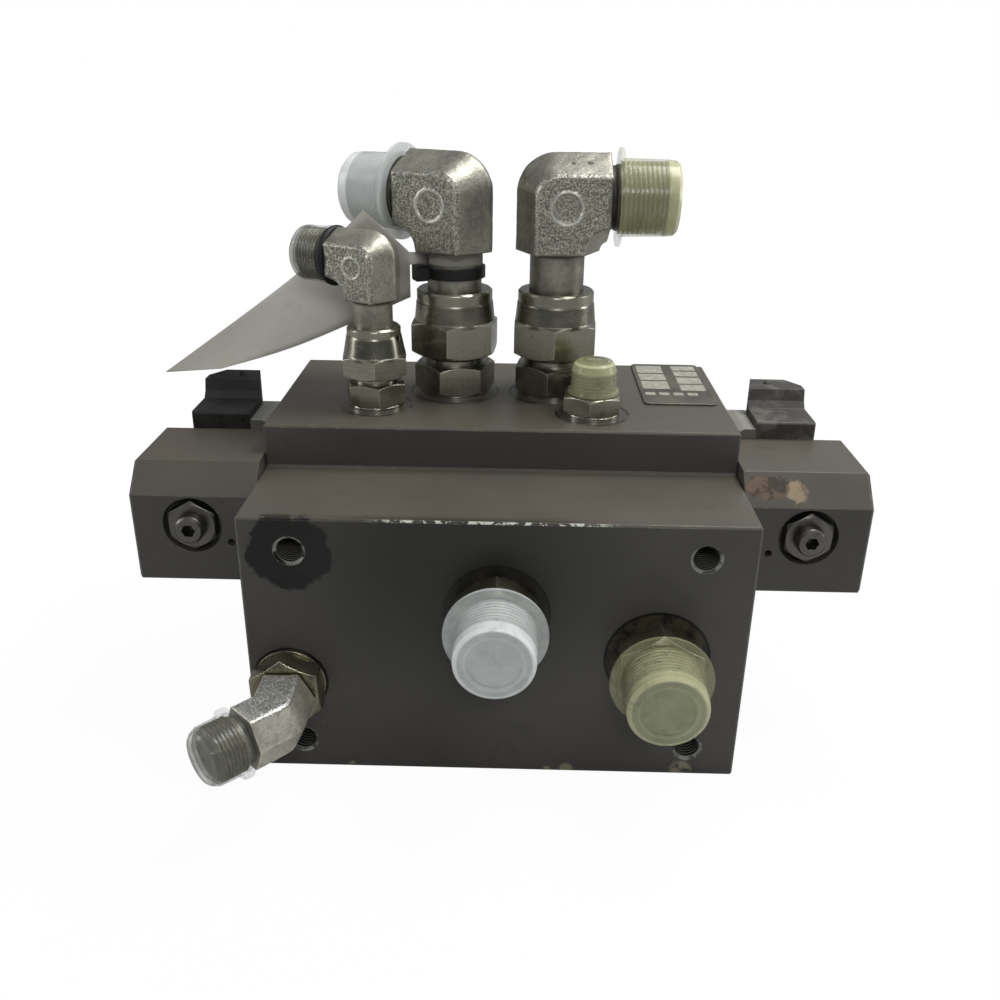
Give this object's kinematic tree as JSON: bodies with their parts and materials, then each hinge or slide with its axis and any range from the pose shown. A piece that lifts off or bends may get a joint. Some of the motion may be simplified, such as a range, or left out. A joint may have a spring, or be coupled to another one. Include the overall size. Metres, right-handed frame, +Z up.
{
  "type": "hydraulic valve block",
  "caption": "Stepped hydraulic valve block with stud couplings, swivel elbows, plastic thread caps and side pilot covers.",
  "frame": {"origin": "centre of the block's base face", "axes": "+X along the spool, +Y from the port face to the back, +Z up"},
  "size_m": [0.3195, 0.2145, 0.2418],
  "materials": {
    "painted_steel": "satin paint, worn at the edges",
    "cast_housing": "rough cast under thin paint",
    "ground_steel": "ground",
    "spring_steel": "drawn wire",
    "black_steel": "blackened",
    "zinc_steel": "zinc plated, turned",
    "zinc_nut": "zinc plated, dull",
    "forged_zinc": "zinc plated over a grainy forging",
    "black_rubber": "matt",
    "milky_plastic": "milky, translucent",
    "yellowed_plastic": "yellowed, translucent",
    "grey_clear_plastic": "greyish, translucent",
    "connector_plastic": "matt",
    "contact_brass": "tinned",
    "plate_metal": "printed plate",
    "tie_plastic": "matt",
    "tag_paper": "creased paper"
  },
  "bodies": {
    "block": {"valve_block": "painted_steel", "pilot_cover_left": "painted_steel", "pilot_cover_right": "painted_steel", "pilot_housing_left": "cast_housing", "pilot_housing_right": "cast_housing", "centring_spring_left": "spring_steel", "centring_spring_right": "spring_steel", "cover_screws_left": "black_steel", "cover_screws_right": "black_steel", "blanking_plugs": "black_steel", "mid_coupling": "zinc_steel", "right_coupling": "zinc_steel", "small_coupling": "zinc_steel", "test_coupling": "zinc_steel", "front_mid_coupling": "zinc_steel", "front_right_coupling": "zinc_steel", "angle_washer": "zinc_steel", "port_seals": "black_rubber", "cover_seal_left": "black_rubber", "cover_seal_right": "black_rubber", "mid_cone_seal": "black_rubber", "right_cone_seal": "black_rubber", "small_cone_seal": "black_rubber", "connector_housing_left": "connector_plastic", "connector_housing_right": "connector_plastic", "connector_pins_left": "contact_brass", "connector_pins_right": "contact_brass", "nameplate": "plate_metal"},
    "spool": {"main_spool": "ground_steel", "spring_seat_left": "ground_steel", "spring_seat_right": "ground_steel"},
    "mid_nut": {"mid_swivel_nut": "zinc_nut", "mid_retaining_wire": "spring_steel"},
    "right_nut": {"right_swivel_nut": "zinc_nut", "right_retaining_wire": "spring_steel"},
    "small_nut": {"small_swivel_nut": "zinc_nut", "small_retaining_wire": "spring_steel"},
    "mid_elbow": {"mid_elbow": "forged_zinc"},
    "right_elbow": {"right_elbow": "forged_zinc"},
    "small_elbow": {"small_elbow": "forged_zinc", "small_outlet_ring": "black_rubber"},
    "mid_cap": {"mid_outlet_cap": "milky_plastic"},
    "right_cap": {"right_outlet_cap": "yellowed_plastic"},
    "small_cap": {"small_outlet_cap": "grey_clear_plastic"},
    "front_mid_cap": {"front_mid_cap": "milky_plastic"},
    "front_right_cap": {"front_right_cap": "yellowed_plastic"},
    "test_cap": {"test_port_cap": "yellowed_plastic"},
    "angle_elbow": {"angle_elbow": "forged_zinc"},
    "angle_nut": {"angle_lock_nut": "zinc_steel"},
    "angle_cap": {"angle_outlet_cap": "grey_clear_plastic"},
    "tag": {"cable_tie": "tie_plastic", "paper_tag": "tag_paper"},
    "armature_left": {"armature_left": "ground_steel"},
    "adjusting_screw_left": {"adjusting_screw_left": "black_steel"},
    "lock_nut_left": {"lock_nut_left": "black_steel"},
    "armature_right": {"armature_right": "ground_steel"},
    "adjusting_screw_right": {"adjusting_screw_right": "black_steel"},
    "lock_nut_right": {"lock_nut_right": "black_steel"}
  },
  "joints": [
    {"name": "spool_shift", "type": "slide", "parent": "block", "child": "spool", "axis": [1, 0, 0], "range_m": [-0.006, 0.006], "stiffness_N_per_m": 8000, "deforming": ["centring_spring_right", "centring_spring_left"]},
    {"name": "armature_left_stroke", "type": "slide", "parent": "block", "child": "armature_left", "axis": [0, 1, 0], "range_m": [0, 0.0025]},
    {"name": "adjusting_screw_left_travel", "type": "slide", "parent": "block", "child": "adjusting_screw_left", "axis": [0, 1, 0], "range_m": [-0.002, 0.002]},
    {"name": "lock_nut_left_turn", "type": "hinge", "parent": "block", "child": "lock_nut_left", "pos_m": [-0.127, -0.0453, 0.097], "axis": [0, -1, 0], "continuous": true},
    {"name": "armature_right_stroke", "type": "slide", "parent": "block", "child": "armature_right", "axis": [0, 1, 0], "range_m": [0, 0.0025]},
    {"name": "adjusting_screw_right_travel", "type": "slide", "parent": "block", "child": "adjusting_screw_right", "axis": [0, 1, 0], "range_m": [-0.002, 0.002]},
    {"name": "lock_nut_right_turn", "type": "hinge", "parent": "block", "child": "lock_nut_right", "pos_m": [0.127, -0.0453, 0.097], "axis": [0, -1, 0], "continuous": true},
    {"name": "mid_nut_turn", "type": "hinge", "parent": "block", "child": "mid_nut", "pos_m": [-0.0225, 0.029, 0.16], "axis": [0, 0, 1], "continuous": true},
    {"name": "right_nut_turn", "type": "hinge", "parent": "block", "child": "right_nut", "pos_m": [0.0228, 0.0295, 0.16], "axis": [0, 0, 1], "continuous": true},
    {"name": "small_nut_turn", "type": "hinge", "parent": "block", "child": "small_nut", "pos_m": [-0.056, 0.0055, 0.155], "axis": [0, 0, 1], "continuous": true},
    {"name": "mid_elbow_swivel", "type": "hinge", "parent": "block", "child": "mid_elbow", "pos_m": [-0.0225, 0.029, 0.2213], "axis": [0, 0, 1], "range_deg": [-90, 0]},
    {"name": "right_elbow_swivel", "type": "hinge", "parent": "block", "child": "right_elbow", "pos_m": [0.0228, 0.0295, 0.2213], "axis": [0, 0, 1], "range_deg": [-110, 60]},
    {"name": "small_elbow_swivel", "type": "hinge", "parent": "block", "child": "small_elbow", "pos_m": [-0.056, 0.0055, 0.1977], "axis": [0, 0, 1], "range_deg": [0, 170]},
    {"name": "mid_cap_pull", "type": "slide", "parent": "mid_elbow", "child": "mid_cap", "axis": [-0.9063, 0.4226, 0], "range_m": [0, 0.03]},
    {"name": "right_cap_pull", "type": "slide", "parent": "right_elbow", "child": "right_cap", "axis": [1, 0, 0], "range_m": [0, 0.03]},
    {"name": "small_cap_pull", "type": "slide", "parent": "small_elbow", "child": "small_cap", "axis": [-0.891, 0.454, 0], "range_m": [0, 0.02]},
    {"name": "front_mid_cap_pull", "type": "slide", "parent": "block", "child": "front_mid_cap", "axis": [0, -1, 0], "range_m": [0, 0.025]},
    {"name": "front_right_cap_pull", "type": "slide", "parent": "block", "child": "front_right_cap", "axis": [0, -1, 0], "range_m": [0, 0.025]},
    {"name": "test_cap_pull", "type": "slide", "parent": "block", "child": "test_cap", "axis": [0, 0, 1], "range_m": [0, 0.02]},
    {"name": "angle_elbow_swivel", "type": "hinge", "parent": "block", "child": "angle_elbow", "pos_m": [-0.0834, -0.096, 0.0429], "axis": [0, -1, 0], "continuous": true},
    {"name": "angle_nut_turn", "type": "hinge", "parent": "block", "child": "angle_nut", "pos_m": [-0.0834, -0.082, 0.0429], "axis": [0, -1, 0], "continuous": true},
    {"name": "angle_cap_pull", "type": "slide", "parent": "angle_elbow", "child": "angle_cap", "axis": [-0.7069, -0.7071, -0.0185], "range_m": [0, 0.02]},
    {"name": "tag_swing", "type": "hinge", "parent": "block", "child": "tag", "pos_m": [-0.0225, 0.029, 0.1893], "axis": [0, 0, 1], "range_deg": [-4, 2.5]}
  ]
}
